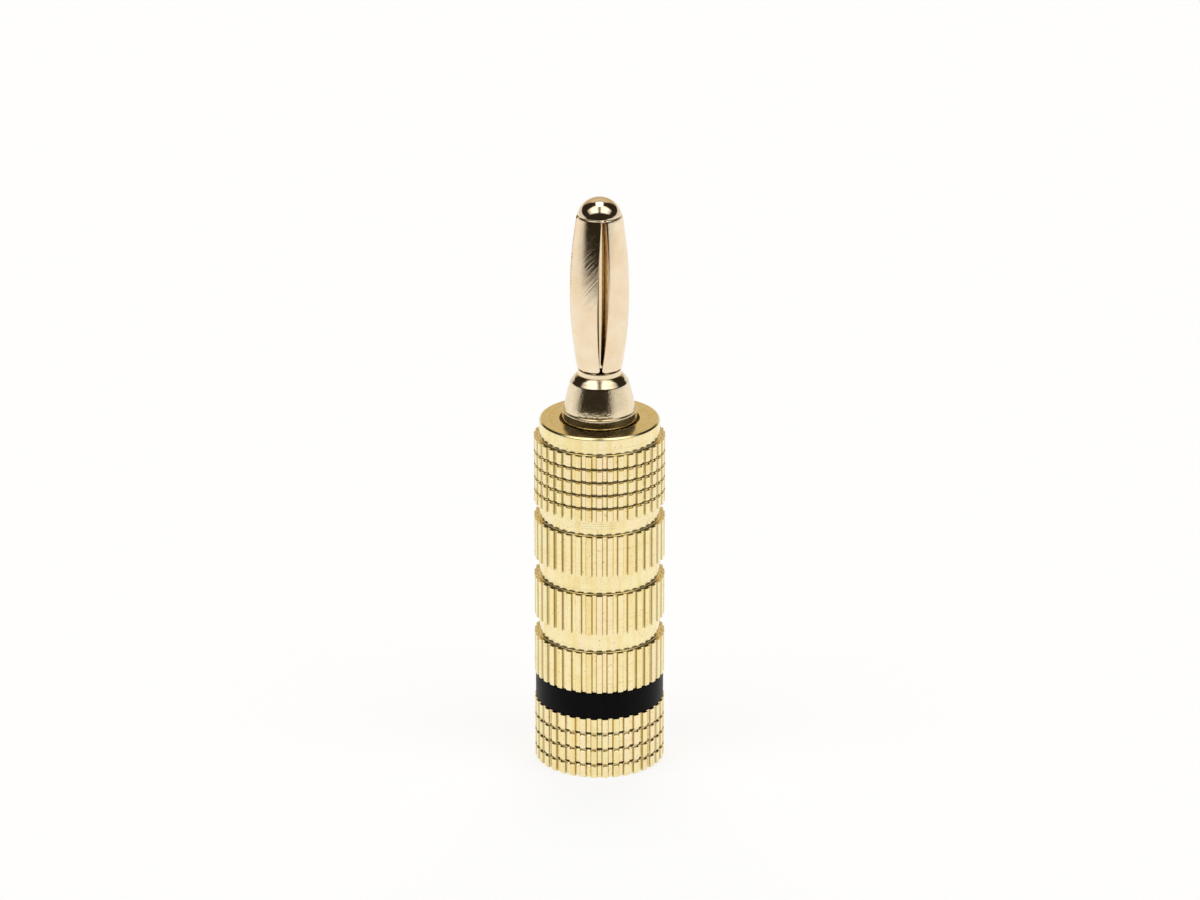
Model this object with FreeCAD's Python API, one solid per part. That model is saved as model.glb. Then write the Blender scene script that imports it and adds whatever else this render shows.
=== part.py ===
import FreeCAD, Part
import math
import os

# Screw-together banana plug for bare speaker wire, in millimetres.
# The plug stands on its rear face: the origin is the centre of that face and +Z runs along
# the axis to the nose. The wire enters the rear cap, its strands fold back over the cap's
# crown, and screwing the barrel down clamps them against the floor of the barrel's bore.

Vector = FreeCAD.Vector
AXIS = Vector(0, 0, 1)
ORIGIN = Vector(0, 0, 0)

# Clearances
SEAT_GAP = 0.05            # between flat faces that screw down on each other
THREAD_CLEARANCE = 0.08    # stem to barrel bore, on the radius
RING_CLEARANCE = 0.08      # colour ring to its spigot, on the radius
PRESS_CLEARANCE = 0.02     # nominal gap of pieces that are pressed together, on the radius
STRAND_GAP = 0.5           # left between the crown and the bore's floor when no wire is fitted
SPRING_PLAY = 0.08         # lantern spring to the pieces that trap it
SPIN_CLEARANCE = 0.06      # spring plate to the spigot that it turns on, on the radius

# Knurling, shared by the rear cap and the barrel
CREST_RADIUS = 5.75
FLUTE_DEPTH = 0.42
FLUTE_MOUTH = 0.52         # width of a V flute at the crests
ROW_CUT_MOUTH = 0.36       # turned V cuts that part a band into rows of squares
SMOOTH_DEPTH = 0.48        # smooth grooves and collar, below the crests

# Rear cap
CAP_LENGTH = 5.6
CAP_FLUTES = 36
CAP_ROWS = 4
CAP_ROW_PITCH = 1.473
CAP_ROW_CUT = 0.2          # depth of the cuts between its rows
SPIGOT_SHOULDER = 0.1      # the spigot ends this much short of the ring's front face
RELIEF_DEPTH = 0.4
RELIEF_LENGTH = 0.7
CROWN_STEP = 0.5           # crown below the stem's thread, on the radius
CROWN_WALL = 0.95
CROWN_LENGTH = 1.8
CROWN_TEETH = 8
TOOTH_DEPTH = 1.2
TOOTH_MOUTH = 1.7
ENTRY_CHAMFER = 0.4        # at the mouth of the wire bore

# Colour ring
RING_LENGTH = 2.45
RING_INSET = 0.1           # below the crests
RING_WALL = 1.02

# Barrel
BARREL_FLUTES = 38
BAND_LENGTH = 3.72         # each of the plain fluted bands
BAND_COUNT = 3
SMOOTH_LENGTH = 1.78       # smooth groove between two fluted bands
NECK_GROOVE_LENGTH = 1.45  # smooth groove behind the square knurl
GRIP_ROWS = 5
GRIP_ROW_PITCH = 1.206
GRIP_ROW_CUT = 0.32        # depth of the cuts between its rows
COLLAR_LENGTH = 1.55
BARREL_WALL = 1.24         # round the threaded bore, under the smooth grooves
BORE_DEPTH = 13.4          # threaded bore, from the barrel's rear face to its floor
BORE_FLOOR_STEP = 0.83     # width of the floor that the bore leaves round the pin's shank
COLLAR_GAP = 0.22          # open gap round the pin's body in the collar
COLLAR_RECESS_DEPTH = 0.8

# Contact pin
PIN_BODY_RADIUS = 3.28
PIN_BODY_HEIGHT = 0.9      # how far the pin's body stands out of the collar
CONE_STEP = 0.2            # step from the body in to the foot of the cone
CONE_HEAD_RADIUS = 2.5
CONE_LENGTH = 3.25
SHOULDER_ROUNDING = 0.65
NECK_RADIUS = 1.9
NECK_LENGTH = 0.45
CORE_RADIUS = 1.0
SPIGOT_PIN_RADIUS = 0.6
SPIGOT_PIN_LENGTH = 1.0    # above the spring's plate

# Lantern spring, one drawn cup that slits part into four bowed leaves
LEAF_COUNT = 4
LEAF_THICKNESS = 0.24
LEAF_LENGTH = 13.8
LEAF_END_REACH = 1.98      # outer face to the axis at both ends, where the leaves are round
LEAF_BULGE_REACH = 2.42
LEAF_BULGE_ROUND = 3.9     # radius of the flatter cross-section at the bulge
LEAF_SLIT = 0.16           # between neighbouring leaves at their ends
BULGE_HEIGHT = 6.7         # from the leaf's foot
LEAF_STEPS = 3             # bends that stand in for the smooth bow, on each side of the bulge
TONGUE_WIDTH = 1.5
TONGUE_REACH = 1.36
TONGUE_LENGTH = 0.5        # inside the pin's neck
LEAF_LIFT = 0.2            # from the neck's rim up to the leaf's foot
LEAF_TURN = 49.0           # degrees that the cage is turned on its pin

# Tip cap
TIP_OVERHANG = 0.02        # dome over the leaves' ends, on the radius
TIP_HEIGHT = 1.45          # from the cap's flat underside to the top of its dome

# How far cutters run past the solid that they cut
PAST = 1.0
PAST_ROW_CUT = 0.15

# Radii that follow from the walls and clearances
smooth_radius = CREST_RADIUS - SMOOTH_DEPTH
bore_radius = smooth_radius - BARREL_WALL
pin_seat_radius = bore_radius - BORE_FLOOR_STEP
shank_radius = pin_seat_radius - PRESS_CLEARANCE
collar_recess_radius = PIN_BODY_RADIUS + COLLAR_GAP
ring_radius = CREST_RADIUS - RING_INSET
ring_bore_radius = ring_radius - RING_WALL
spigot_radius = ring_bore_radius - RING_CLEARANCE
stem_radius = bore_radius - THREAD_CLEARANCE
relief_radius = stem_radius - RELIEF_DEPTH
crown_radius = stem_radius - CROWN_STEP
wire_bore_radius = crown_radius - CROWN_WALL
cone_foot_radius = PIN_BODY_RADIUS - CONE_STEP
neck_bore_radius = math.hypot(TONGUE_REACH, TONGUE_WIDTH / 2) + SPRING_PLAY
plate_hole_radius = SPIGOT_PIN_RADIUS + SPIN_CLEARANCE
tip_radius = LEAF_END_REACH + TIP_OVERHANG
tip_bore_radius = SPIGOT_PIN_RADIUS + PRESS_CLEARANCE

# Heights above the rear face
ring_foot = CAP_LENGTH + SEAT_GAP
ring_head = ring_foot + RING_LENGTH
spigot_head = ring_head - SPIGOT_SHOULDER
barrel_foot = ring_head + SEAT_GAP
bands_length = BAND_COUNT * BAND_LENGTH + (BAND_COUNT - 1) * SMOOTH_LENGTH
grip_foot = barrel_foot + bands_length + NECK_GROOVE_LENGTH
collar_foot = grip_foot + GRIP_ROWS * GRIP_ROW_PITCH
barrel_head = collar_foot + COLLAR_LENGTH
recess_floor = barrel_head - COLLAR_RECESS_DEPTH
bore_floor = barrel_foot + BORE_DEPTH
stem_foot = barrel_foot + RELIEF_LENGTH
crown_head = bore_floor - STRAND_GAP
crown_foot = crown_head - CROWN_LENGTH
body_head = barrel_head + PIN_BODY_HEIGHT
cone_head = body_head + CONE_LENGTH
neck_head = cone_head + NECK_LENGTH
tongue_foot = neck_head - TONGUE_LENGTH
leaf_foot = neck_head + LEAF_LIFT
leaf_bulge = leaf_foot + BULGE_HEIGHT
leaf_head = leaf_foot + LEAF_LENGTH
core_head = leaf_head - LEAF_THICKNESS - SPRING_PLAY
tip_foot = leaf_head + SPRING_PLAY
spigot_pin_head = tip_foot + SPIGOT_PIN_LENGTH
tip_head = tip_foot + TIP_HEIGHT


def outline(corners):
    """Closed wire in the XZ plane; each corner is (radius, height) or (radius, height, rounding).

    Two chords stand in for a rounding, which keeps the facets few.
    """
    points = []
    for i, corner in enumerate(corners):
        here, back, on = (
            Vector(corners[j][0], 0, corners[j][1])
            for j in (i, i - 1, (i + 1) % len(corners))
        )
        if len(corner) == 2:
            points.append(here)
            continue
        rounding = corner[2]
        back = (back - here).normalize()
        on = (on - here).normalize()
        half = back.getAngle(on) / 2
        reach = rounding / math.tan(half)
        bisector = (back + on).normalize()
        points += [
            here + back * reach,
            here + bisector * (rounding / math.sin(half) - rounding),
            here + on * reach,
        ]
    return Part.makePolygon(points + points[:1])


def turned(corners):
    """Solid turned about the plug's axis from its half section."""
    return Part.Face(outline(corners)).revolve(ORIGIN, AXIS, 360)


def around(shape, count):
    """Copies of a shape, evenly spaced around the axis."""
    copies = []
    for i in range(count):
        copy = shape.copy()
        copy.rotate(ORIGIN, AXIS, 360.0 * i / count)
        copies.append(copy)
    return copies


def fluted_bar(count, foot, head):
    """Bar with straight V flutes all round and narrow flat crests between them."""
    valley_radius = CREST_RADIUS - FLUTE_DEPTH
    half_pitch = math.pi / count
    half_mouth = math.asin(FLUTE_MOUTH / 2 / CREST_RADIUS)
    corners = []
    for i in range(count):
        middle = 2 * half_pitch * i
        for radius, angle in (
            (valley_radius, middle),
            (CREST_RADIUS, middle + half_mouth),
            (CREST_RADIUS, middle + 2 * half_pitch - half_mouth),
        ):
            corners.append(Vector(radius * math.cos(angle), radius * math.sin(angle), foot))
    face = Part.Face(Part.makePolygon(corners + corners[:1]))
    return face.extrude(AXIS * (head - foot))


def groove(foot, head):
    """Ring that a turning tool takes off the crests, from foot to head."""
    return turned([
        (smooth_radius, foot),
        (CREST_RADIUS + PAST, foot),
        (CREST_RADIUS + PAST, head),
        (smooth_radius, head),
    ])


def row_cut(middle, depth, count):
    """V ring that parts two rows of squares, with one flat for each crest."""
    grow = 1 + PAST_ROW_CUT / depth
    half_mouth = ROW_CUT_MOUTH / 2 * grow
    to_corner = 1 / math.cos(math.pi / count)
    section = [
        ((CREST_RADIUS - depth) * to_corner, middle),
        ((CREST_RADIUS + PAST_ROW_CUT) * to_corner, middle - half_mouth),
        ((CREST_RADIUS + PAST_ROW_CUT) * to_corner, middle + half_mouth),
    ]
    stations = []
    for i in range(count):
        angle = 2 * math.pi * i / count
        stations.append([
            Vector(radius * math.cos(angle), radius * math.sin(angle), height)
            for radius, height in section
        ])
    faces = []
    for i in range(count):
        here = stations[i - 1]
        there = stations[i]
        for j in range(len(section)):
            corners = [here[j - 1], here[j], there[j], there[j - 1], here[j - 1]]
            faces.append(Part.Face(Part.makePolygon(corners)))
    ring = Part.Solid(Part.makeShell(faces))
    ring.fixTolerance(1e-6)
    return ring


def rear_cap():
    """Knurled cap with the wire bore, the ring's spigot, the threaded stem and the crown."""
    first_cut = CAP_LENGTH - (CAP_ROWS - 1) * CAP_ROW_PITCH
    cuts = [
        row_cut(first_cut + i * CAP_ROW_PITCH, CAP_ROW_CUT, CAP_FLUTES)
        for i in range(CAP_ROWS - 1)
    ]
    head = fluted_bar(CAP_FLUTES, 0, CAP_LENGTH).cut(cuts)
    stem = turned([
        (0, CAP_LENGTH - PAST),
        (spigot_radius, CAP_LENGTH - PAST),
        (spigot_radius, spigot_head),
        (relief_radius, spigot_head),
        (relief_radius, stem_foot),
        (stem_radius, stem_foot),
        (stem_radius, crown_foot),
        (crown_radius, crown_foot),
        (crown_radius, crown_head),
        (0, crown_head),
    ])
    wire_bore = turned([
        (0, -PAST),
        (wire_bore_radius + ENTRY_CHAMFER + PAST, -PAST),
        (wire_bore_radius, ENTRY_CHAMFER),
        (wire_bore_radius, crown_head + PAST),
        (0, crown_head + PAST),
    ])
    return head.fuse(stem).cut([wire_bore, *tooth_cutters()])


def tooth_cutters():
    """V notches that leave the crown's pointed teeth."""
    half_mouth = TOOTH_MOUTH / 2 * (TOOTH_DEPTH + PAST) / TOOTH_DEPTH
    corners = [
        Vector(0, 0, crown_head - TOOTH_DEPTH),
        Vector(0, -half_mouth, crown_head + PAST),
        Vector(0, half_mouth, crown_head + PAST),
    ]
    face = Part.Face(Part.makePolygon(corners + corners[:1]))
    return around(face.extrude(Vector(crown_radius + PAST, 0, 0)), CROWN_TEETH)


def colour_ring():
    """Plain plastic ring that shows the polarity, loose on the cap's spigot."""
    return turned([
        (ring_bore_radius, ring_foot),
        (ring_radius, ring_foot),
        (ring_radius, ring_head),
        (ring_bore_radius, ring_head),
    ])


def barrel():
    """Long knurled sleeve: fluted bands, a square-knurled grip and a smooth collar."""
    cuts = [
        row_cut(grip_foot + (i + 1) * GRIP_ROW_PITCH, GRIP_ROW_CUT, BARREL_FLUTES)
        for i in range(GRIP_ROWS - 1)
    ]
    for i in range(BAND_COUNT):
        foot = barrel_foot + BAND_LENGTH + i * (BAND_LENGTH + SMOOTH_LENGTH)
        length = SMOOTH_LENGTH if i < BAND_COUNT - 1 else NECK_GROOVE_LENGTH
        cuts.append(groove(foot, foot + length))
    cuts.append(groove(collar_foot, barrel_head + PAST))
    bores = turned([
        (0, barrel_foot - PAST),
        (bore_radius, barrel_foot - PAST),
        (bore_radius, bore_floor),
        (pin_seat_radius, bore_floor),
        (pin_seat_radius, recess_floor),
        (collar_recess_radius, recess_floor),
        (collar_recess_radius, barrel_head + PAST),
        (0, barrel_head + PAST),
    ])
    return fluted_bar(BARREL_FLUTES, barrel_foot, barrel_head).cut([bores, *cuts])


def contact_pin():
    """Turned pin: shank pressed into the barrel, body, cone, neck, core rod and spigot."""
    return turned([
        (0, bore_floor),
        (shank_radius, bore_floor),
        (shank_radius, recess_floor),
        (PIN_BODY_RADIUS, recess_floor),
        (PIN_BODY_RADIUS, body_head),
        (cone_foot_radius, body_head),
        (CONE_HEAD_RADIUS, cone_head, SHOULDER_ROUNDING),
        (NECK_RADIUS, cone_head),
        (NECK_RADIUS, neck_head),
        (neck_bore_radius, neck_head),
        (neck_bore_radius, tongue_foot - SPRING_PLAY),
        (CORE_RADIUS, tongue_foot - SPRING_PLAY),
        (CORE_RADIUS, core_head),
        (SPIGOT_PIN_RADIUS, core_head),
        (SPIGOT_PIN_RADIUS, spigot_pin_head),
        (0, spigot_pin_head),
    ])


def leaf_section(height, reach, bend_radius):
    """Cross-section of a leaf: a bent strip, as wide along its curve as every other section."""
    centre = Vector(reach - bend_radius, 0, height)
    leaf_width = 2 * math.pi * LEAF_END_REACH / LEAF_COUNT - LEAF_SLIT
    half_angle = leaf_width / 2 / bend_radius
    outer, inner = [
        [
            centre + Vector(radius * math.cos(angle), radius * math.sin(angle), 0)
            for angle in (-half_angle, 0, half_angle)
        ]
        for radius in (bend_radius, bend_radius - LEAF_THICKNESS)
    ]
    return Part.Wire([
        Part.Arc(*outer).toShape(),
        Part.LineSegment(outer[2], inner[2]).toShape(),
        Part.Arc(*reversed(inner)).toShape(),
        Part.LineSegment(inner[0], outer[0]).toShape(),
    ])


def leaf():
    """One bowed leaf, round about the axis at both ends and flatter at the bulge."""
    sections = []
    for i in range(-LEAF_STEPS, LEAF_STEPS + 1):
        share = i / LEAF_STEPS
        length = LEAF_LENGTH - BULGE_HEIGHT if share > 0 else BULGE_HEIGHT
        reach = LEAF_BULGE_REACH - (LEAF_BULGE_REACH - LEAF_END_REACH) * share ** 2
        bend = (1 - share ** 2) / LEAF_BULGE_ROUND + share ** 2 / LEAF_END_REACH
        sections.append(leaf_section(leaf_bulge + length * share, reach, 1 / bend))
    return Part.makeLoft(sections, True, True)


def tongue(join_radius):
    """Strip folded in from a leaf's foot and down into the pin's neck."""
    inside = TONGUE_REACH - LEAF_THICKNESS
    corners = [
        (inside, tongue_foot),
        (TONGUE_REACH, tongue_foot),
        (TONGUE_REACH, leaf_foot),
        (join_radius, leaf_foot),
        (join_radius, leaf_foot + LEAF_THICKNESS),
        (inside, leaf_foot + LEAF_THICKNESS),
    ]
    strip = Part.Face(outline(corners)).extrude(Vector(0, TONGUE_WIDTH, 0))
    strip.translate(Vector(0, -TONGUE_WIDTH / 2, 0))
    length = leaf_foot + LEAF_THICKNESS - tongue_foot
    return strip.common(Part.makeCylinder(join_radius, length, Vector(0, 0, tongue_foot)))


def lantern_spring():
    """The cage: four leaves and their tongues on one plate, free to turn on the pin's spigot."""
    join_radius = LEAF_END_REACH - LEAF_THICKNESS / 2
    plate_foot = Vector(0, 0, leaf_head - LEAF_THICKNESS)
    plate = Part.makeCylinder(join_radius, LEAF_THICKNESS, plate_foot)
    hole = Part.makeCylinder(plate_hole_radius, LEAF_THICKNESS, plate_foot)
    leaves = around(leaf(), LEAF_COUNT) + around(tongue(join_radius), LEAF_COUNT)
    cage = plate.fuse(leaves).cut(hole)
    cage.rotate(ORIGIN, AXIS, LEAF_TURN)
    return cage


def tip_cap():
    """Domed nose pressed on the pin's spigot, over the spring's plate."""
    dome = Part.makeSphere(tip_radius, Vector(0, 0, tip_head - tip_radius))
    kept = Part.makeCylinder(tip_radius + PAST, TIP_HEIGHT + PAST, Vector(0, 0, tip_foot))
    bore = Part.makeCylinder(tip_bore_radius, SPIGOT_PIN_LENGTH, Vector(0, 0, tip_foot))
    return dome.common(kept).cut(bore)


def one_solid(shape):
    """The shape's single solid, so that each file holds one closed piece."""
    assert len(shape.Solids) == 1, "a piece came out in %d solids" % len(shape.Solids)
    return shape.Solids[0]


PIECES = {
    "rear_cap": rear_cap,
    "colour_ring": colour_ring,
    "barrel": barrel,
    "contact_pin": contact_pin,
    "lantern_spring": lantern_spring,
    "tip_cap": tip_cap,
}

os.makedirs("parts", exist_ok=True)
for name, make in PIECES.items():
    one_solid(make()).exportStep("parts/%s.step" % name)
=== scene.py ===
import math
import random

import bpy
import numpy as np
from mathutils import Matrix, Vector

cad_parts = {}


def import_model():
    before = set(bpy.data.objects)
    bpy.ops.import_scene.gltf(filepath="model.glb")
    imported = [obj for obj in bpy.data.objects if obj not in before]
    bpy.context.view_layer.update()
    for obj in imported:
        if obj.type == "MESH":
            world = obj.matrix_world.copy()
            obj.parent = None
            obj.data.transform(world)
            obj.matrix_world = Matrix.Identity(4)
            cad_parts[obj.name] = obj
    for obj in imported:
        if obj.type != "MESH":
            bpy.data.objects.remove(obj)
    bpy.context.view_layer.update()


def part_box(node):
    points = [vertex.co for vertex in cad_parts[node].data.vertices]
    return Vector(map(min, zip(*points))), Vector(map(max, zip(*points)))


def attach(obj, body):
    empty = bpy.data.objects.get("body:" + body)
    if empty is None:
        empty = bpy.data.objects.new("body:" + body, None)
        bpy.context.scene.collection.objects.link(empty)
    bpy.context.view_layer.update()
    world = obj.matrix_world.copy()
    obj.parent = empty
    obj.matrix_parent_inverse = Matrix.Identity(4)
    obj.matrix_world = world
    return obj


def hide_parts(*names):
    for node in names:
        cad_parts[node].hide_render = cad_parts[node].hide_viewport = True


# Looks of the banana plug. Shapes are in millimetres, follow the solids of the frame and are
# scaled to metres where their meshes are made. Materials work in metres: the size of their
# specks is about one metre divided by the scale of the noise. +Z is the plug's axis, and the
# camera is at -Y.

MM = 0.001

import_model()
rng = random.Random(7)


def heights(node):
    """Lowest and highest point of a CAD node, in millimetres."""
    low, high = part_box(node)
    return low.z / MM, high.z / MM


# Broken edges of the turned pieces
EDGE = 0.03
EDGE_STEPS = 3
HOLD = 0.03                # a wall keeps its own shading up to this far from a broken edge
SPARE = 0.01               # least length of wall between the holds of two edges
SHARP_ANGLE = 40.0         # degrees between faces that are shaded apart
PLAIN_COLUMNS = 96         # round bores, threads, the spring's plate and the tip cap

# Knurling
CREST = 5.75
FLUTE_DEPTH = 0.25
SHALLOWEST_FLUTE = 0.93    # share of the full depth
FLUTE_SHIFT = 0.012        # most that a crest sits off its place, in pitches
CREST_HALF = 0.46          # shares of half a flute's pitch
VALLEY_HALF = 0.70
CREST_ROUND = 0.012        # how far a crest falls towards its edges
FLUTE_COLUMNS = (-1.0, -0.85, -0.7, -0.64, -0.58, -0.52, -0.46, -0.3,
                 0.0, 0.3, 0.46, 0.52, 0.58, 0.64, 0.7, 0.85)    # from valley to valley
SMOOTH = 5.27
SMOOTH_FILLET = 0.05
ROW_HALF = 0.16            # half the mouth of a row cut
ROW_STATIONS = (-1.15, -1.0, -0.66, -0.33, -0.1, 0.1, 0.33, 0.66, 1.0, 1.15)
MARKED_ROW = 0.16          # depth of a row cut that counts as much as a whole flute in the mark, which sets the painted shade

# Rear cap
CAP_HEAD = 5.6
CAP_FLUTES = 36
CAP_ROWS = 4
CAP_PITCH = 1.473
CAP_ROW_DEPTH = 0.2
CAP_PITS = 0.75            # share by which a flute and a row cut deepen each other
SPIGOT = 4.55
SPIGOT_HEAD = 8.0
RELIEF = 3.55
RELIEF_HEAD = 8.85
STEM = 3.95
CROWN = 3.45
CROWN_LENGTH = 1.8
CROWN_TEETH = 8
CROWN_COLUMNS = 288
TOOTH_DEPTH = 1.2
TOOTH_MOUTH = 1.7
WIRE_BORE = 2.5
ENTRY_CHAMFER = 0.4
ENTRY_EDGE = 0.05

# Thread
THREAD_PITCH = 1.0
THREAD_DEPTH = 0.42
THREAD_STEPS = 8           # rows of points for one turn
THREAD_FLANK = 1.25        # above 1, it leaves a flat crest between two turns
THREAD_SHADE = 0.6          # how much painted shade its bottom gets, where a flute's is 1
STEM_RUNOUT = 0.3          # plain length at both ends of the stem's thread
BORE_FOOT_RUNOUT = 0.5
BORE_HEAD_RUNOUT = 0.8

# Colour ring
RING_BORE = 4.63
RING = 5.65
RING_COLUMNS = 216

# Barrel
BARREL_FLUTES = 38
BAND = 3.72
BANDS = 3
GAP = 1.78
NECK_GAP = 1.45
GROOVE_COLUMNS = 8 * BARREL_FLUTES
TOOL_RINGS = 3             # fine rings left by the tool at the top of a groove
TOOL_RING_TOP = 0.28       # from the groove's top down to the first one
TOOL_RING_PITCH = 0.23
TOOL_RING_DEPTH = 0.012
TOOL_RING_HALF = 0.045
GRIP_ROWS = 5
GRIP_PITCH = 1.206
GRIP_ROW_DEPTH = 0.32
COLLAR_CHAMFER = 0.15
BORE = 4.03
BORE_CHAMFER = 0.3
BORE_FLOOR = 21.55
PIN_SEAT = 3.22
RECESS = 3.5
RECESS_DEPTH = 0.8

# Contact pin; the stations of its slightly bowed cone are (radius, height)
SHANK = 3.2
SHANK_HEAD = 31.1
BODY = 3.28
BODY_HEAD = 32.8
CONE = ((3.055, 32.9), (3.04, 33.2), (3.0, 33.5), (2.94, 33.8), (2.86, 34.13), (2.72, 34.7))
NECK = 1.9
NECK_HEAD = 36.5
NECK_BORE = 1.63
NECK_FLOOR = 35.92
CORE = 1.0
CORE_HEAD = 50.18
SPIGOT_PIN = 0.6
PIN_COLUMNS = 144

# Lantern spring
LEAVES = 4
LEAF_THICK = 0.24
LEAF_HALF = 1.475          # measured along the leaf's curve
LEAF_FOOT = 36.7
LEAF_BULGE = 43.4
LEAF_HEAD = 50.5
LEAF_ROWS = 64
LEAF_COLUMNS = 16
END_REACH = 1.98
BULGE_REACH = 2.42
BULGE_ROUND = 3.9          # radius of the cross-section at the bulge; round the axis at the ends
HEAD_TAPER = 0.1           # how much narrower each side gets towards the head
LEAF_CORNER = 0.22
CORNER_ROWS = (0.03, 0.09)    # more rows in the rounded corners, above the foot
LEAF_EDGE = 0.05
LEAF_EDGE_MIDDLE = 0.3     # share of the edge at which its rounding has a point
LEAF_FOLD = 0.13           # outer radius of the fold into the plate
FOLD_STEPS = 6
FOLD_END = 1.55
FOLD_DROP = 0.003          # keeps the folded ends just under the plate's face
PLATE = 1.62
PLATE_HOLE = 0.66
TONGUE_HALF = 0.75
TONGUE_REACH = 1.36
TONGUE_FOOT = 36.0
TONGUE_CHAMFER = 0.06
TONGUE_BEND = 36.58        # where the tongue starts to fold outward
TONGUE_STEPS = 4
LEAF_TURN = 52.0           # degrees
LEAF_TWIST = 7.0           # degrees from foot to head
HATCH_SLANT = 1.2          # rise of the polishing marks for their run across a leaf
HATCH_SHIFT = 9.7          # sets the marks of each leaf apart from the others

# Tip cap
TIP_RADIUS = 2.0
TIP_FOOT = 50.54
TIP_HEAD = 52.03
TIP_BORE = 0.62
TIP_BORE_DEPTH = 1.0
TIP_STEPS = 30
TIP_EDGE_LIFT = 0.025      # radians up the dome from its foot to the end of its broken edge

# Tones, as 0 to 255 values of a picture; a pair gives the ends of a cloudy range
BRIGHT_GOLD = ((247, 231, 172), (252, 239, 188))
YELLOW_STREAK = (246, 216, 146)
PINK_STREAK = (255, 230, 194)
TOOL_MARK = (190, 165, 110)
PIT = (140, 112, 60)
# painted shade on the flanks of the flutes and at the bottoms of the threads
PAINTED_GROOVE_SHADE = (158, 138, 92)
# painted shade in the row cuts of the knurling
PAINTED_ROW_SHADE = (84, 66, 32)
CONTACT_GOLD = ((238, 214, 178), (244, 226, 196))
PIN_GOLD = ((232, 212, 172), (243, 226, 194))
BLACK_PLASTIC = ((10, 8, 9), (17, 15, 15))

# Lengths in materials, in metres
KNURL_BUMP = 0.000004
HATCH_BUMP = 0.00002
TURNED_BUMP = 0.000005
MOULDED_BUMP = 0.000008
CONE_FOOT_FADE = (0.0329, 0.0331)
CONE_HEAD_FADE = (0.0352, 0.0356)

# Floor: it ends in front of the plug, out of the picture, and runs far behind
FLOOR_CORNERS = ((-1200, 30), (-160, 30), (-157, -28), (-139, -80), (-103, -123), (-54, -150),
                 (0, -155), (70, -150), (120, -120), (1200, -110), (1200, 2000), (-1200, 2000))
FLOOR_PAINT = (0.93, 0.93, 0.93, 1)
FLOOR_GLOW = 1.27
GLOW_SHARE = 0.6           # of the floor's look; the rest is lit paint, which keeps the shadow

# Studio
WHITE = (1, 1, 1, 1)
ROOM_TONE = (0.028, 0.023, 0.016, 1)
SIDE_TONE = (0.8, 0.8, 0.8, 1)
WALL_FOOT_TONE = (0.62, 0.50, 0.30, 1)
WALL_HEAD_TONE = (0.74, 0.64, 0.50, 1)
WINGS_TONE = (1.65, 1.65, 1.65, 1)
WINDOW_TONE = (2.2, 2.2, 2.2, 1)

# Camera, at the photograph's angle
CAMERA_PLACE = (0.00004, -0.3970, 0.1841)
CAMERA_TILT = 68.64        # degrees up from looking straight down
FOCAL_LENGTH = 146.66
SENSOR_WIDTH = 36


class Skin:
    """A surface that grows loop by loop, each loop counter-clockwise seen from ahead."""

    def __init__(self):
        self.points = []
        self.mark = []
        self.faces = []
        self.count = 0
        self.restart()

    def restart(self):
        """Lets the next loop stand apart from those before it."""
        self.first = self.last = None

    def loop(self, points, mark=0.0):
        """Adds a loop of points, and the faces that join it to the loop before it."""
        points = np.atleast_2d(points)
        here = np.arange(len(points)) + self.count
        self.count += len(points)
        self.points.append(points)
        self.mark.append(np.broadcast_to(np.asarray(mark, float), (len(points),)))
        if self.last is None:
            self.first = here
        else:
            self.join(self.last, here)
        self.last = here

    def join(self, a, b):
        """Faces between two loops, of which one may be a single point."""
        if len(a) == len(b):
            a2, b2 = np.roll(a, -1), np.roll(b, -1)
            self.faces += np.column_stack((a, a2, b2, b)).tolist()
        elif len(b) == 1:
            self.faces += [(i, j, b[0]) for i, j in zip(a, np.roll(a, -1))]
        elif len(a) == 1:
            self.faces += [(a[0], j, i) for i, j in zip(b, np.roll(b, -1))]
        else:
            self.stitch(a, b)

    def stitch(self, a, b):
        """Triangles between two loops of different counts that both start at angle zero."""
        i = j = 0
        while i < len(a) or j < len(b):
            if j == len(b) or (i < len(a) and (i + 1) * len(b) <= (j + 1) * len(a)):
                self.faces.append((a[i], a[(i + 1) % len(a)], b[j % len(b)]))
                i += 1
            else:
                self.faces.append((a[i % len(a)], b[(j + 1) % len(b)], b[j]))
                j += 1

    def close(self):
        """Joins the last loop to the first one."""
        self.join(self.last, self.first)

    def strip(self, loops, marks):
        """Adds a closed strip; the two halves of each loop are its two faces."""
        self.restart()
        for points, mark in zip(loops, marks):
            self.loop(points, mark)
        self.lid(self.first, True)
        self.lid(self.last, False)

    def lid(self, loop, flip):
        """Closes a strip's end between the two halves of its loop."""
        for k in range(len(loop) // 2 - 1):
            face = (loop[k], loop[k + 1], loop[-2 - k], loop[-1 - k])
            self.faces.append(face[::-1] if flip else face)


def add_object(name, data):
    """Object of the scene, at the origin."""
    made = bpy.data.objects.new(name, data)
    bpy.context.scene.collection.objects.link(made)
    return made


def piece(name, skin, body, node, material):
    """Object from a skin: rides on its body and stands for its CAD node."""
    mesh = bpy.data.meshes.new(name)
    points = np.concatenate(skin.points) * MM
    mesh.from_pydata(points.tolist(), [], [[int(i) for i in face] for face in skin.faces])
    mark = mesh.attributes.new("mark", "FLOAT", "POINT")
    mark.data.foreach_set("value", np.concatenate(skin.mark).astype(np.float32))
    mesh.validate()
    mesh.shade_smooth()
    mesh.set_sharp_from_angle(angle=math.radians(SHARP_ANGLE))
    mesh.materials.append(material)
    made = add_object(name, mesh)
    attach(made, body)
    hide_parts(node)


def even(columns):
    """Evenly spaced angles round the axis."""
    return np.arange(columns) * (2 * math.pi / columns)


def around(radius, height, turn):
    """Loop of points at the given angles; radius and height may vary round the loop."""
    radius = np.broadcast_to(radius, turn.shape)
    height = np.broadcast_to(height, turn.shape)
    return np.column_stack((radius * np.cos(turn), radius * np.sin(turn), height))


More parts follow.
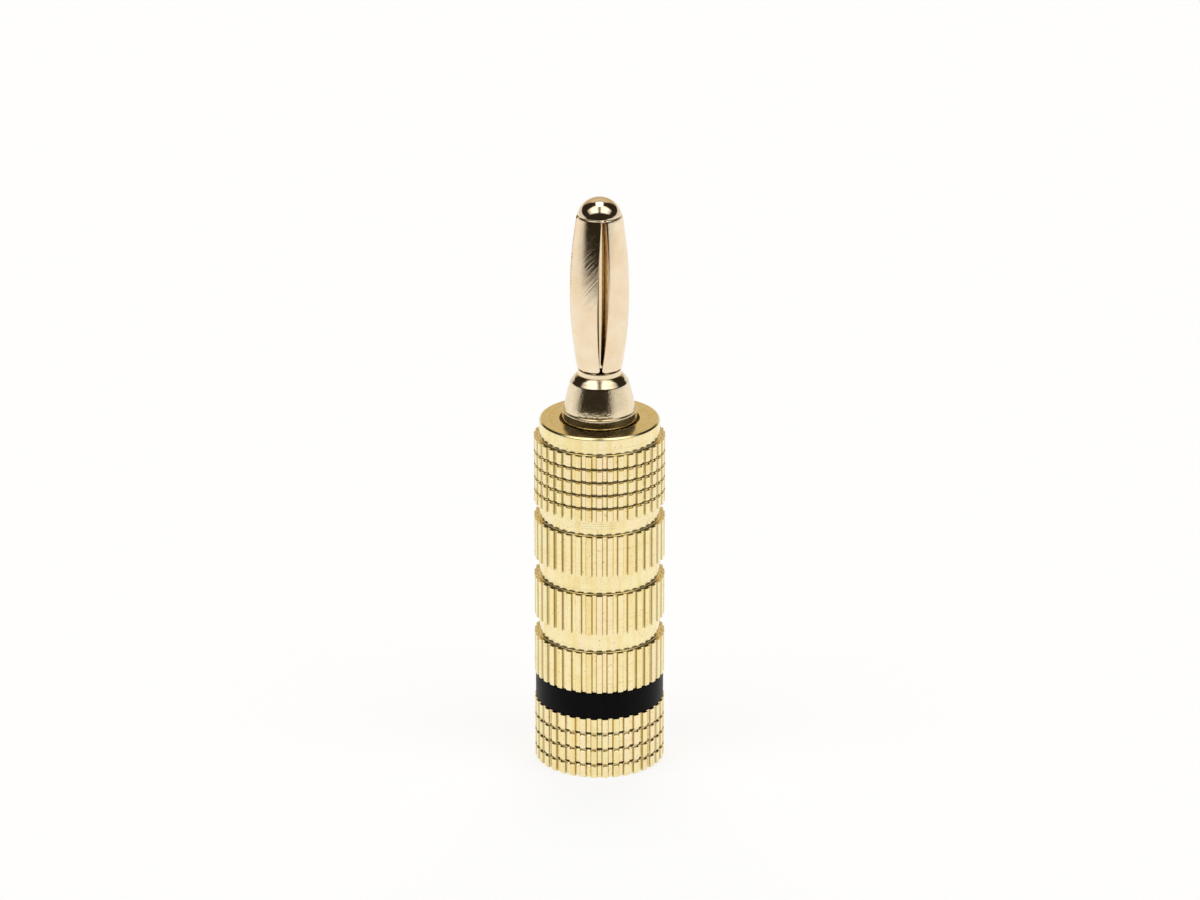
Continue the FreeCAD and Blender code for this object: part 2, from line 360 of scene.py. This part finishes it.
def contour(corners):
    """Stations of a half section; a corner is (radius, height) or (radius, height, edge).

    A corner with an edge is rounded, and each wall beside it gets a station that holds its
    shading, where the wall is long enough.
    """
    stations = []
    for i, corner in enumerate(corners):
        here = np.array(corner[:2], float)
        if len(corner) == 2:
            stations.append(here)
            continue
        edge = corner[2]
        sides = []
        for other in (corners[i - 1], corners[(i + 1) % len(corners)]):
            away = np.array(other[:2], float) - here
            room = np.linalg.norm(away)
            taken = edge + HOLD + (other[2] + HOLD if len(other) > 2 else 0)
            sides.append((away / room, room > taken + SPARE))
        (back, hold_back), (on, hold_on) = sides
        if hold_back:
            stations.append(here + back * (edge + HOLD))
        for step in range(EDGE_STEPS + 1):
            t = step / EDGE_STEPS
            stations.append(here + back * edge * (1 - t) ** 2 + on * edge * t ** 2)
        if hold_on:
            stations.append(here + on * (edge + HOLD))
    return stations


def plain(skin, stations, turn):
    """Adds a loop at each station, or one point where a station lies on the axis."""
    for radius, height in stations:
        if radius == 0:
            skin.loop([[0, 0, height]])
        else:
            skin.loop(around(radius, height, turn))


class Flutes:
    """Angles and depths of all the columns of a fluted bar, a little uneven."""

    def __init__(self, count):
        pitch = 2 * math.pi / count
        self.turn = []
        self.depth = []
        for i in range(count):
            deep = FLUTE_DEPTH * rng.uniform(SHALLOWEST_FLUTE, 1.0)
            shift = rng.uniform(-FLUTE_SHIFT, FLUTE_SHIFT)
            for u in FLUTE_COLUMNS:
                self.turn.append(pitch * (i + (u + 1) / 2 + shift * (1 - u * u)))
                fall = min(max((abs(u) - CREST_HALF) / (VALLEY_HALF - CREST_HALF), 0), 1)
                crest = CREST_ROUND * min(abs(u) / CREST_HALF, 1) ** 2
                self.depth.append(crest + (deep - crest) * fall * fall * (3 - 2 * fall))
        self.turn = np.array(self.turn)
        self.depth = np.array(self.depth)


def rounded_max(a, b, power):
    """The larger of two depths, blended where they are alike; a high power blends less."""
    return (a ** power + b ** power) ** (1 / power)


def knurled(skin, flutes, radius, height, row=0.0, pits=0.0):
    """Loop of a fluted bar turned down to a radius and cut by row; pits deepens crossings."""
    cut = rounded_max(flutes.depth, row, 4) + pits * np.minimum(flutes.depth, row)
    down = rounded_max(cut, CREST - radius, 6)
    # the mark sets the painted shade of the knurling: darker on the flanks of the flutes and in
    # the row cuts
    mark = np.clip(flutes.depth / FLUTE_DEPTH, 0, 1) + row / MARKED_ROW
    skin.loop(around(CREST - down, height, flutes.turn), mark)


def band(skin, flutes, foot, head, cuts=(), row_depth=0.0, pits=0.0):
    """Fluted band with broken ends, and V cuts round it at the given heights."""
    for radius, height in contour([(SMOOTH, foot), (CREST, foot, EDGE), (CREST, head)])[1:-1]:
        knurled(skin, flutes, radius, height)
    for middle in cuts:
        for share in ROW_STATIONS:
            row = row_depth * max(1 - abs(share), 0)
            knurled(skin, flutes, CREST, middle + share * ROW_HALF, row, pits)
    for radius, height in contour([(CREST, foot), (CREST, head, EDGE), (SMOOTH, head)])[1:-1]:
        knurled(skin, flutes, radius, height)


def thread(skin, radius, foot, head, outward, turn):
    """Right-hand V thread cut into a cylinder: into the stem, or outward into a bore."""
    sign = 1 if outward else -1
    rows = int(round(abs(head - foot) * THREAD_STEPS / THREAD_PITCH))
    for i in range(rows + 1):
        height = foot + (head - foot) * i / rows
        phase = (height / THREAD_PITCH - turn / (2 * math.pi)) % 1
        fade = min(1, i / THREAD_STEPS, (rows - i) / THREAD_STEPS)
        depth = THREAD_DEPTH * fade * np.clip(1 - np.abs(2 * phase - 1) * THREAD_FLANK, 0, 1)
        # the mark paints shade into the bottom of the thread
        skin.loop(around(radius + sign * depth, height, turn), depth / THREAD_DEPTH * THREAD_SHADE)


def teeth(skin, radius, head, turn):
    """Edge of the crown, notched by V cuts that run straight outward."""
    pitch = 2 * math.pi / CROWN_TEETH
    off = (turn + pitch / 2) % pitch - pitch / 2
    notch = TOOTH_DEPTH * np.clip(1 - np.abs(radius * np.sin(off)) / (TOOTH_MOUTH / 2), 0, 1)
    skin.loop(around(radius, head - notch, turn))


def rear_cap():
    """Knurled cap, from its rear face along the outside to the crown, and back in the bore."""
    flutes = Flutes(CAP_FLUTES)
    crown_head = heights("rear_cap")[1]
    crown_foot = crown_head - CROWN_LENGTH
    skin = Skin()
    plain(skin, contour([
        (WIRE_BORE, ENTRY_CHAMFER),
        (WIRE_BORE + ENTRY_CHAMFER, 0, ENTRY_EDGE),
        (CREST, 0),
    ])[1:-1], flutes.turn)
    cuts = [CAP_HEAD - (CAP_ROWS - 1 - i) * CAP_PITCH for i in range(CAP_ROWS - 1)]
    band(skin, flutes, 0, CAP_HEAD, cuts, CAP_ROW_DEPTH, CAP_PITS)
    stem = even(PLAIN_COLUMNS)
    plain(skin, contour([
        (CREST, CAP_HEAD),
        (SPIGOT, CAP_HEAD, 0.06),
        (SPIGOT, SPIGOT_HEAD, 0.1),
        (RELIEF, SPIGOT_HEAD, 0.1),
        (RELIEF, RELIEF_HEAD, 0.1),
        (STEM, RELIEF_HEAD, 0.15),
        (STEM, RELIEF_HEAD + 0.2),
    ])[1:], stem)
    thread(skin, STEM, RELIEF_HEAD + STEM_RUNOUT, crown_foot - STEM_RUNOUT, False, stem)
    plain(skin, contour([
        (STEM, crown_foot - 0.25),
        (STEM, crown_foot, 0.15),
        (CROWN, crown_foot, 0.08),
        (CROWN, crown_head),
    ])[:-1], stem)
    notched = even(CROWN_COLUMNS)
    teeth(skin, CROWN, crown_head, notched)
    teeth(skin, WIRE_BORE, crown_head, notched)
    plain(skin, [
        (WIRE_BORE, crown_foot - 0.3),
        (WIRE_BORE, ENTRY_CHAMFER + ENTRY_EDGE),
        (WIRE_BORE, ENTRY_CHAMFER),
    ], stem)
    skin.close()
    return skin


def colour_ring():
    """Plain moulded ring with softly rounded edges."""
    foot, head = heights("colour_ring")
    skin = Skin()
    plain(skin, contour([
        (RING_BORE, foot, 0.08),
        (RING, foot, 0.1),
        (RING, head, 0.1),
        (RING_BORE, head, 0.08),
    ]), even(RING_COLUMNS))
    skin.close()
    return skin


def tool_rings(top):
    """Corners of the fine rings in a groove, from the lowest up."""
    corners = []
    for i in reversed(range(TOOL_RINGS)):
        height = top - TOOL_RING_TOP - i * TOOL_RING_PITCH
        corners += [
            (SMOOTH, height - TOOL_RING_HALF - HOLD),
            (SMOOTH, height - TOOL_RING_HALF),
            (SMOOTH - TOOL_RING_DEPTH, height),
            (SMOOTH, height + TOOL_RING_HALF),
            (SMOOTH, height + TOOL_RING_HALF + HOLD),
        ]
    return corners


def barrel():
    """Sleeve, from its rear face along the outside to the collar, and back in the bore."""
    foot, head = heights("barrel")
    flutes = Flutes(BARREL_FLUTES)
    groove = even(GROOVE_COLUMNS)
    skin = Skin()
    plain(skin, [(BORE + BORE_CHAMFER, foot)], flutes.turn)
    here = foot
    for i in range(BANDS):
        band(skin, flutes, here, here + BAND)
        here += BAND
        gap = GAP if i < BANDS - 1 else NECK_GAP
        rings = tool_rings(here + gap) if i else []
        plain(skin, contour([
            (CREST, here),
            (SMOOTH, here, SMOOTH_FILLET),
            *rings,
            (SMOOTH, here + gap, SMOOTH_FILLET),
            (CREST, here + gap),
        ])[1:-1], groove)
        here += gap
    collar_foot = here + GRIP_ROWS * GRIP_PITCH
    cuts = [here + (i + 1) * GRIP_PITCH for i in range(GRIP_ROWS - 1)]
    band(skin, flutes, here, collar_foot, cuts, GRIP_ROW_DEPTH)
    plain(skin, contour([
        (CREST, collar_foot),
        (SMOOTH, collar_foot, SMOOTH_FILLET),
        (SMOOTH, head - COLLAR_CHAMFER, EDGE),
        (SMOOTH - COLLAR_CHAMFER, head, EDGE),
        (RECESS, head),
    ])[1:-1], groove)
    inside = even(PLAIN_COLUMNS)
    plain(skin, contour([
        (SMOOTH, head),
        (RECESS, head, 0.06),
        (RECESS, head - RECESS_DEPTH, 0.05),
        (PIN_SEAT, head - RECESS_DEPTH),
        (PIN_SEAT, BORE_FLOOR),
        (BORE, BORE_FLOOR, 0.1),
        (BORE, BORE_FLOOR - 0.6),
    ])[1:], inside)
    thread(skin, BORE, BORE_FLOOR - BORE_HEAD_RUNOUT, foot + BORE_FOOT_RUNOUT, True, inside)
    plain(skin, [(BORE, foot + BORE_CHAMFER)], inside)
    skin.close()
    return skin


def contact_pin():
    """Turned pin, from the end of its shank along the outside to the spigot's end."""
    head = heights("contact_pin")[1]
    skin = Skin()
    plain(skin, contour([
        (0, BORE_FLOOR),
        (SHANK, BORE_FLOOR, 0.1),
        (SHANK, SHANK_HEAD),
        (BODY, SHANK_HEAD, 0.05),
        (BODY, BODY_HEAD, 0.1),
        (3.08, BODY_HEAD, 0.03),
        *CONE,
        (2.56, 35.36, 0.06),
        (2.23, 35.79, 0.15),
        (1.95, 36.04, 0.08),
        (NECK, 36.06, 0.02),
        (NECK, NECK_HEAD, 0.06),
        (NECK_BORE, NECK_HEAD),
        (NECK_BORE, NECK_FLOOR),
        (CORE, NECK_FLOOR),
        (CORE, CORE_HEAD, 0.08),
        (SPIGOT_PIN, CORE_HEAD),
        (SPIGOT_PIN, head, 0.08),
        (0, head),
    ]), even(PIN_COLUMNS))
    return skin


def tip_cap():
    """Dome, from the floor of its bore out to its edge and up to the nose."""
    centre = TIP_HEAD - TIP_RADIUS
    bore_head = TIP_FOOT + TIP_BORE_DEPTH
    edge = math.sqrt(TIP_RADIUS ** 2 - (TIP_FOOT - centre) ** 2)
    stations = [
        (0, bore_head),
        (TIP_BORE, bore_head),
        (TIP_BORE, TIP_FOOT),
        (edge - 0.1, TIP_FOOT),
        (edge - 0.06, TIP_FOOT),
        (edge - 0.02, TIP_FOOT + 0.015),
    ]
    low = math.asin((TIP_FOOT - centre) / TIP_RADIUS) + TIP_EDGE_LIFT
    for i in range(TIP_STEPS):
        lift = low + (math.pi / 2 - low) * i / TIP_STEPS
        stations.append((TIP_RADIUS * math.cos(lift), centre + TIP_RADIUS * math.sin(lift)))
    stations.append((0, TIP_HEAD))
    skin = Skin()
    plain(skin, stations, even(PLAIN_COLUMNS))
    return skin


def corner_cut(distance):
    """How much a rounded corner takes off a leaf's half width, this far from its end."""
    away = LEAF_CORNER - min(max(distance, 0.0), LEAF_CORNER)
    return LEAF_CORNER - math.sqrt(LEAF_CORNER ** 2 - away ** 2)


def bow_station(height):
    """Station of the bow: reach, height, bend radius, half angle and outward normal."""
    span = LEAF_HEAD - LEAF_BULGE if height > LEAF_BULGE else LEAF_FOOT - LEAF_BULGE
    share = (height - LEAF_BULGE) / span
    drop = (BULGE_REACH - END_REACH) * share ** 2
    slope = 2 * (BULGE_REACH - END_REACH) * share / span
    bend = (1 - share ** 2) / BULGE_ROUND + share ** 2 / END_REACH
    half = LEAF_HALF - corner_cut(height - LEAF_FOOT)
    if height > LEAF_BULGE:
        half -= HEAD_TAPER * share ** 2
    size = math.hypot(1, slope)
    return BULGE_REACH - drop, height, 1 / bend, half * bend, (1 / size, slope / size)


def leaf_stations():
    """Stations of a leaf, from its foot up the bow, through the fold and in to the plate."""
    top = LEAF_HEAD - LEAF_FOLD
    rise = [LEAF_FOOT + (top - LEAF_FOOT) * i / LEAF_ROWS for i in range(LEAF_ROWS + 1)]
    rise[1:1] = [LEAF_FOOT + row for row in CORNER_ROWS]
    stations = [bow_station(height) for height in rise]
    half = stations[-1][3]
    for i in range(1, FOLD_STEPS + 1):
        turn = math.pi / 2 * i / FOLD_STEPS
        reach = END_REACH - LEAF_FOLD * (1 - math.cos(turn))
        height = top + LEAF_FOLD * math.sin(turn) - FOLD_DROP
        stations.append((reach, height, reach, half, (math.cos(turn), math.sin(turn))))
    stations.append((FOLD_END, LEAF_HEAD - FOLD_DROP, FOLD_END, half, (0.0, 1.0)))
    return stations


def leaf_loop(reach, height, bend_radius, half_angle, normal):
    """Cross-section of a leaf, its outer face from side to side and its inner face back.

    Its mark counts across the polishing marks, which slant over the leaf.
    """
    side = half_angle * bend_radius
    flat = side - LEAF_EDGE
    eased = LEAF_EDGE_MIDDLE * LEAF_EDGE
    outer = [(-side, LEAF_EDGE), (-side + eased, eased)]
    outer += [(flat * (2 * k / LEAF_COLUMNS - 1), 0.0) for k in range(LEAF_COLUMNS + 1)]
    outer += [(side - eased, eased), (side, LEAF_EDGE)]
    inner = [(along, LEAF_THICK - depth) for along, depth in reversed(outer)]
    points = []
    for along, depth in outer + inner:
        turn = along / bend_radius
        out = reach - bend_radius + bend_radius * math.cos(turn)
        points.append((out - depth * normal[0] * math.cos(turn),
                       bend_radius * math.sin(turn) - depth * normal[0] * math.sin(turn),
                       height - depth * normal[1]))
    alongs = np.array([along for along, _ in outer + inner])
    return np.array(points), height - HATCH_SLANT * alongs


def tongue_loops():
    """Cross-sections of a tongue, from inside the pin's neck up and out to the leaf's wall."""
    middle = TONGUE_REACH - LEAF_THICK / 2
    join = LEAF_FOOT + LEAF_THICK / 2
    bend = join - TONGUE_BEND
    path = [
        (middle, TONGUE_FOOT, 0),
        (middle, TONGUE_FOOT + TONGUE_CHAMFER, 0),
        (middle, TONGUE_BEND, 0),
    ]
    for i in range(1, TONGUE_STEPS + 1):
        turn = math.pi / 2 * i / TONGUE_STEPS
        path.append((middle + bend * (1 - math.cos(turn)),
                     TONGUE_BEND + bend * math.sin(turn), turn))
    path.append((END_REACH - LEAF_THICK / 2, join, math.pi / 2))
    loops = []
    for x, z, turn in path:
        half = TONGUE_HALF - (TONGUE_CHAMFER if z == TONGUE_FOOT else 0)
        out = np.array([math.cos(turn), -math.sin(turn)]) * LEAF_THICK / 2
        loops.append(np.array([
            (x + side * out[0], y, z + side * out[1])
            for side, y in ((1, -half), (1, 0), (1, half), (-1, half), (-1, 0), (-1, -half))
        ]))
    return loops


def twisted(points):
    """Loop turned by the leaves' slight twist at its height."""
    share = (points[:, 2] - LEAF_FOOT) / (LEAF_HEAD - LEAF_FOOT) - 0.5
    turn = np.radians(LEAF_TWIST) * share
    x, y, z = points.T
    return np.column_stack((x * np.cos(turn) - y * np.sin(turn),
                            x * np.sin(turn) + y * np.cos(turn), z))


def lantern_spring():
    """Leaves and tongues, each a closed strip that runs into the next, and the round plate."""
    leaf = [leaf_loop(*here) for here in leaf_stations()]
    leaf = [(twisted(points), mark) for points, mark in leaf]
    tongue = [twisted(points) for points in tongue_loops()]
    skin = Skin()
    for i in range(LEAVES):
        turn = math.radians(LEAF_TURN) + i * 2 * math.pi / LEAVES
        spin = np.array([[math.cos(turn), math.sin(turn), 0],
                         [-math.sin(turn), math.cos(turn), 0],
                         [0, 0, 1]])
        skin.strip([points @ spin for points, _ in leaf],
                   [mark + HATCH_SHIFT * i for _, mark in leaf])
        skin.strip([points @ spin for points in tongue], [0.0] * len(tongue))
    skin.restart()
    plain(skin, [
        (PLATE_HOLE, LEAF_HEAD - LEAF_THICK),
        (PLATE, LEAF_HEAD - LEAF_THICK),
        (PLATE, LEAF_HEAD),
        (PLATE_HOLE, LEAF_HEAD),
    ], even(PLAIN_COLUMNS))
    skin.close()
    return skin


def empty_tree(owner):
    """Node tree of a material or world, with nothing in it."""
    owner.use_nodes = True
    owner.node_tree.nodes.clear()
    return owner.node_tree


def add_node(tree, kind, values=None, **settings):
    """Shader node; values sets its sockets, or links them where a value is a socket."""
    made = tree.nodes.new(kind)
    for name, value in settings.items():
        setattr(made, name, value)
    for name, value in (values or {}).items():
        if isinstance(value, bpy.types.NodeSocket):
            tree.links.new(value, made.inputs[name])
        else:
            made.inputs[name].default_value = value
    return made


def maths(tree, operation, a, b=0.0):
    return add_node(tree, "ShaderNodeMath", {0: a, 1: b}, operation=operation).outputs[0]


def spread(tree, value, low, high, to_low=0.0, to_high=1.0):
    """Maps a value from one range to another, held at the ends."""
    return add_node(tree, "ShaderNodeMapRange", {
        "Value": value, "From Min": low, "From Max": high, "To Min": to_low, "To Max": to_high,
    }).outputs[0]


def between(tree, value, rise, fall):
    """1 between two edges and 0 beyond them; rise and fall are the ranges of the edges."""
    return maths(tree, "MULTIPLY", spread(tree, value, *rise), spread(tree, value, *fall, 1, 0))


def mix(tree, factor, a, b):
    """Mixes two colours; 6 and 7 are the colour inputs of the node, and 2 is their output."""
    return add_node(tree, "ShaderNodeMix", {0: factor, 6: a, 7: b}, data_type="RGBA").outputs[2]


def mix_shaders(tree, factor, a, b):
    return add_node(tree, "ShaderNodeMixShader", {
        0: factor, 1: a.outputs[0], 2: b.outputs[0],
    }).outputs[0]


def linear(tone):
    """Linear colour of a tone that is given as the 0 to 255 values of a picture."""
    def one(value):
        value /= 255
        return value / 12.92 if value <= 0.04045 else ((value + 0.055) / 1.055) ** 2.4
    return (*map(one, tone), 1.0)


def noise(tree, vector, scale, detail=2.0, rough=0.5):
    return add_node(tree, "ShaderNodeTexNoise", {
        "Vector": vector, "Scale": scale, "Detail": detail, "Roughness": rough,
    }).outputs["Fac"]


def clouds(tree, place, scale, tones, low=0.35, high=0.65):
    """Soft patches between two tones."""
    cloud = noise(tree, place, scale, detail=3.0)
    return mix(tree, spread(tree, cloud, low, high), linear(tones[0]), linear(tones[1]))


def stretched(tree, place, round_about, along):
    """Place scaled by different amounts round about the axis and along it."""
    return add_node(tree, "ShaderNodeVectorMath", {
        0: place, 1: (round_about, round_about, along),
    }, operation="MULTIPLY").outputs[0]


def lathe_marks(tree, place, across, round_about):
    """Noise in rings round the axis: fine along the section, long round about."""
    split = add_node(tree, "ShaderNodeSeparateXYZ", {0: place})
    flat = add_node(tree, "ShaderNodeCombineXYZ", {0: split.outputs[0], 1: split.outputs[1]})
    radius = add_node(tree, "ShaderNodeVectorMath", {0: flat.outputs[0]}, operation="LENGTH")
    rings = add_node(tree, "ShaderNodeCombineXYZ", {
        0: maths(tree, "MULTIPLY", radius.outputs["Value"], across),
        1: maths(tree, "MULTIPLY", split.outputs[2], across),
        2: maths(tree, "MULTIPLY", split.outputs[0], round_about),
    })
    return noise(tree, rings.outputs[0], 1.0, detail=3.0, rough=0.6)


def stored_mark(tree):
    """The mark that a skin keeps at its points."""
    return add_node(tree, "ShaderNodeAttribute", attribute_name="mark").outputs["Fac"]


def new_material(name, metallic):
    """Material with a bare shader, and the place on the object for its textures."""
    material = bpy.data.materials.new(name)
    tree = empty_tree(material)
    shader = add_node(tree, "ShaderNodeBsdfPrincipled", {"Metallic": metallic})
    add_node(tree, "ShaderNodeOutputMaterial", {0: shader.outputs[0]})
    place = add_node(tree, "ShaderNodeTexCoord").outputs["Object"]
    return material, tree, shader, place


def dress(tree, shader, tone, rough, height, strength, distance):
    """Gives a shader its colour, its roughness and its bumps."""
    bump = add_node(tree, "ShaderNodeBump", {
        "Height": height, "Strength": strength, "Distance": distance,
    })
    tree.links.new(tone, shader.inputs["Base Color"])
    tree.links.new(rough, shader.inputs["Roughness"])
    tree.links.new(bump.outputs[0], shader.inputs["Normal"])


def knurled_gold():
    """Bright plate on the knurled pieces; mark is 1 in a flute, up to 2 more in a row cut, and
    sets painted shade on the flanks of the flutes, in the row cuts and in the threads.
    """
    material, tree, shader, place = new_material("knurled_gold", 1.0)
    mark = stored_mark(tree)
    streaks = noise(tree, stretched(tree, place, round_about=1500, along=90), 1.0)
    fine = lathe_marks(tree, place, across=9000, round_about=160)
    coarse = lathe_marks(tree, place, across=3800, round_about=40)
    grain = noise(tree, place, 14000)
    pits = noise(tree, place, 5200, detail=1.0)
    # painted shade: the flanks of the flutes and the bottoms of the threads are tinted darker by
    # their mark
    groove_shade = between(tree, mark, (0.1, 0.3), (0.75, 0.92))
    tone = clouds(tree, place, 900, BRIGHT_GOLD)
    for amount, tint in (
        (spread(tree, streaks, 0.50, 0.66, 0, 0.6), YELLOW_STREAK),
        (spread(tree, streaks, 0.34, 0.50, 0.6, 0), PINK_STREAK),
        (spread(tree, coarse, 0.56, 0.68, 0, 0.22), TOOL_MARK),
        (spread(tree, pits, 0.68, 0.74, 0, 0.45), PIT),
        (maths(tree, "MULTIPLY", groove_shade, 0.6), PAINTED_GROOVE_SHADE),
        # painted shade in the row cuts
        (spread(tree, mark, 1.1, 1.8, 0, 0.85), PAINTED_ROW_SHADE),
    ):
        tone = mix(tree, amount, tone, linear(tint))
    height = maths(tree, "ADD", fine, maths(tree, "MULTIPLY", grain, 0.5))
    height = maths(tree, "ADD", height, maths(tree, "MULTIPLY", coarse, 0.8))
    rough = spread(tree, grain, 0.3, 0.7, 0.14, 0.24)
    dress(tree, shader, tone, rough, height, 0.5, KNURL_BUMP)
    return material


def pin_gold():
    """The pin's plate: grainy on the turned cone, smooth elsewhere."""
    material, tree, shader, place = new_material("pin_gold", 1.0)
    z = add_node(tree, "ShaderNodeSeparateXYZ", {0: place}).outputs[2]
    on_cone = between(tree, z, CONE_FOOT_FADE, CONE_HEAD_FADE)
    grain = noise(tree, place, 4800, rough=0.6)
    turned = lathe_marks(tree, place, across=7000, round_about=120)
    tone = clouds(tree, place, 500, PIN_GOLD)
    rough = maths(tree, "ADD", spread(tree, grain, 0.3, 0.7, 0.06, 0.13),
                  maths(tree, "MULTIPLY", on_cone, 0.09))
    height = maths(tree, "ADD", maths(tree, "MULTIPLY", turned, 0.4),
                   maths(tree, "MULTIPLY", grain, maths(tree, "MULTIPLY", on_cone, 7.5)))
    dress(tree, shader, tone, rough, height, 0.6, TURNED_BUMP)
    return material


def polish(tree, shader, place, marks, distance):
    """Pale bright plate with the given polishing or turning marks."""
    grain = noise(tree, place, 9000)
    tone = clouds(tree, place, 500, CONTACT_GOLD)
    rough = spread(tree, marks, 0.3, 0.7, 0.04, 0.10)
    height = maths(tree, "ADD", marks, maths(tree, "MULTIPLY", grain, 0.35))
    dress(tree, shader, tone, rough, height, 0.6, distance)


def leaf_gold():
    """Plate of the leaves, hatched by polishing; mark counts across the hatching."""
    material, tree, shader, place = new_material("leaf_gold", 1.0)
    lines = add_node(tree, "ShaderNodeCombineXYZ", {
        0: maths(tree, "MULTIPLY", stored_mark(tree), 8.5),
        1: noise(tree, place, 700, detail=1.0),
    }).outputs[0]
    polish(tree, shader, place, noise(tree, lines, 1.0, rough=0.6), HATCH_BUMP)
    return material


def tip_gold():
    """Plate of the nose, with fine turning marks."""
    material, tree, shader, place = new_material("tip_gold", 1.0)
    marks = lathe_marks(tree, place, across=7000, round_about=120)
    polish(tree, shader, place, marks, TURNED_BUMP)
    return material


def ring_plastic():
    """Black moulded plastic, finely grained and with little shine."""
    material, tree, shader, place = new_material("ring_plastic", 0.0)
    shader.inputs["Specular IOR Level"].default_value = 0.06
    grain = noise(tree, place, 9000)
    tone = clouds(tree, place, 1200, BLACK_PLASTIC, 0.3, 0.7)
    rough = spread(tree, grain, 0.3, 0.7, 0.34, 0.46)
    dress(tree, shader, tone, rough, grain, 0.3, MOULDED_BUMP)
    return material


def floor():
    """Pale floor; the camera, and what shines or is clear, sees it glow as well."""
    mesh = bpy.data.meshes.new("floor")
    mesh.from_pydata([(x * MM, y * MM, 0) for x, y in FLOOR_CORNERS], [],
                     [range(len(FLOOR_CORNERS))])
    material = bpy.data.materials.new("floor")
    tree = empty_tree(material)
    path = add_node(tree, "ShaderNodeLightPath").outputs
    seen = maths(tree, "MAXIMUM", path["Is Camera Ray"], path["Is Glossy Ray"])
    seen = maths(tree, "MAXIMUM", seen, path["Is Transmission Ray"])
    paint = add_node(tree, "ShaderNodeBsdfDiffuse", {"Color": FLOOR_PAINT})
    glow = add_node(tree, "ShaderNodeEmission", {"Color": WHITE, "Strength": FLOOR_GLOW})
    both = mix_shaders(tree, maths(tree, "MULTIPLY", seen, GLOW_SHARE), paint, glow)
    add_node(tree, "ShaderNodeOutputMaterial", {0: both})
    mesh.materials.append(material)
    add_object("floor", mesh)


def world():
    """Studio round the plug, drawn by the direction of a ray, and white to the camera.

    It is dark on the camera's side, with bright low sides and a warm wall behind. A soft box
    hangs overhead: two wings with a dim gap between them, and a brighter window behind these.
    """
    made = bpy.data.worlds.new("studio")
    bpy.context.scene.world = made
    tree = empty_tree(made)
    ray = add_node(tree, "ShaderNodeTexCoord").outputs["Generated"]
    x, y, z = add_node(tree, "ShaderNodeSeparateXYZ", {0: ray}).outputs
    forward = maths(tree, "MULTIPLY", y, -1.0)

    # bearing is 0 towards the camera and a quarter turn, in radians, to the right
    bearing = maths(tree, "ARCTAN2", x, forward)
    room = between(tree, bearing, (-1.46, -1.12), (0.56, 0.86))
    sides = maths(tree, "MULTIPLY", spread(tree, z, 0.2, 0.26, 1, 0),
                  maths(tree, "SUBTRACT", 1.0, room))
    behind = spread(tree, maths(tree, "ABSOLUTE", bearing), 2.40, 2.60)
    wall = maths(tree, "MULTIPLY", behind, between(tree, z, (0.15, 0.25), (0.82, 0.86)))
    wall_tone = mix(tree, spread(tree, z, 0.42, 0.62), WALL_FOOT_TONE, WALL_HEAD_TONE)

    # the soft box is level: right and near are places on it, as seen from the plug
    up = maths(tree, "MAXIMUM", z, 0.05)
    right = maths(tree, "ABSOLUTE", maths(tree, "DIVIDE", x, up))
    near = maths(tree, "DIVIDE", forward, up)
    above = spread(tree, z, 0.1, 0.2)
    wings = between(tree, near, (-0.08, 0.1), (0.70, 0.88))
    wings = maths(tree, "MULTIPLY", wings, spread(tree, right, 0.6, 1.5, 1, 0))
    wings = maths(tree, "MULTIPLY", wings, spread(tree, right, 0.04, 0.22, 0.12, 1))
    window = between(tree, near, (-0.58, -0.46), (0.02, 0.16))
    window = maths(tree, "MULTIPLY", window, spread(tree, right, 0.18, 0.30, 1, 0))

    tone = mix(tree, sides, ROOM_TONE, SIDE_TONE)
    tone = mix(tree, wall, tone, wall_tone)
    tone = mix(tree, maths(tree, "MULTIPLY", wings, above), tone, WINGS_TONE)
    tone = mix(tree, maths(tree, "MULTIPLY", window, above), tone, WINDOW_TONE)
    seen = add_node(tree, "ShaderNodeLightPath").outputs["Is Camera Ray"]
    studio = add_node(tree, "ShaderNodeBackground", {"Color": tone})
    white = add_node(tree, "ShaderNodeBackground", {"Color": WHITE})
    add_node(tree, "ShaderNodeOutputWorld", {0: mix_shaders(tree, seen, studio, white)})


def camera():
    lens = bpy.data.cameras.new("camera")
    lens.sensor_width = SENSOR_WIDTH
    lens.lens = FOCAL_LENGTH
    lens.clip_start = 0.01
    lens.clip_end = 10
    made = add_object("camera", lens)
    made.location = CAMERA_PLACE
    made.rotation_euler = (math.radians(CAMERA_TILT), 0, 0)
    bpy.context.scene.camera = made


gold = knurled_gold()

piece("rear_cap_turned", rear_cap(), "cap", "rear_cap", gold)
piece("colour_ring_moulded", colour_ring(), "ring", "colour_ring", ring_plastic())
piece("barrel_turned", barrel(), "sleeve", "barrel", gold)
piece("contact_pin_turned", contact_pin(), "sleeve", "contact_pin", pin_gold())
piece("lantern_spring_stamped", lantern_spring(), "spring", "lantern_spring",
      leaf_gold())
piece("tip_cap_polished", tip_cap(), "sleeve", "tip_cap", tip_gold())

floor()
world()
camera()
bpy.context.scene.view_settings.view_transform = "Standard"
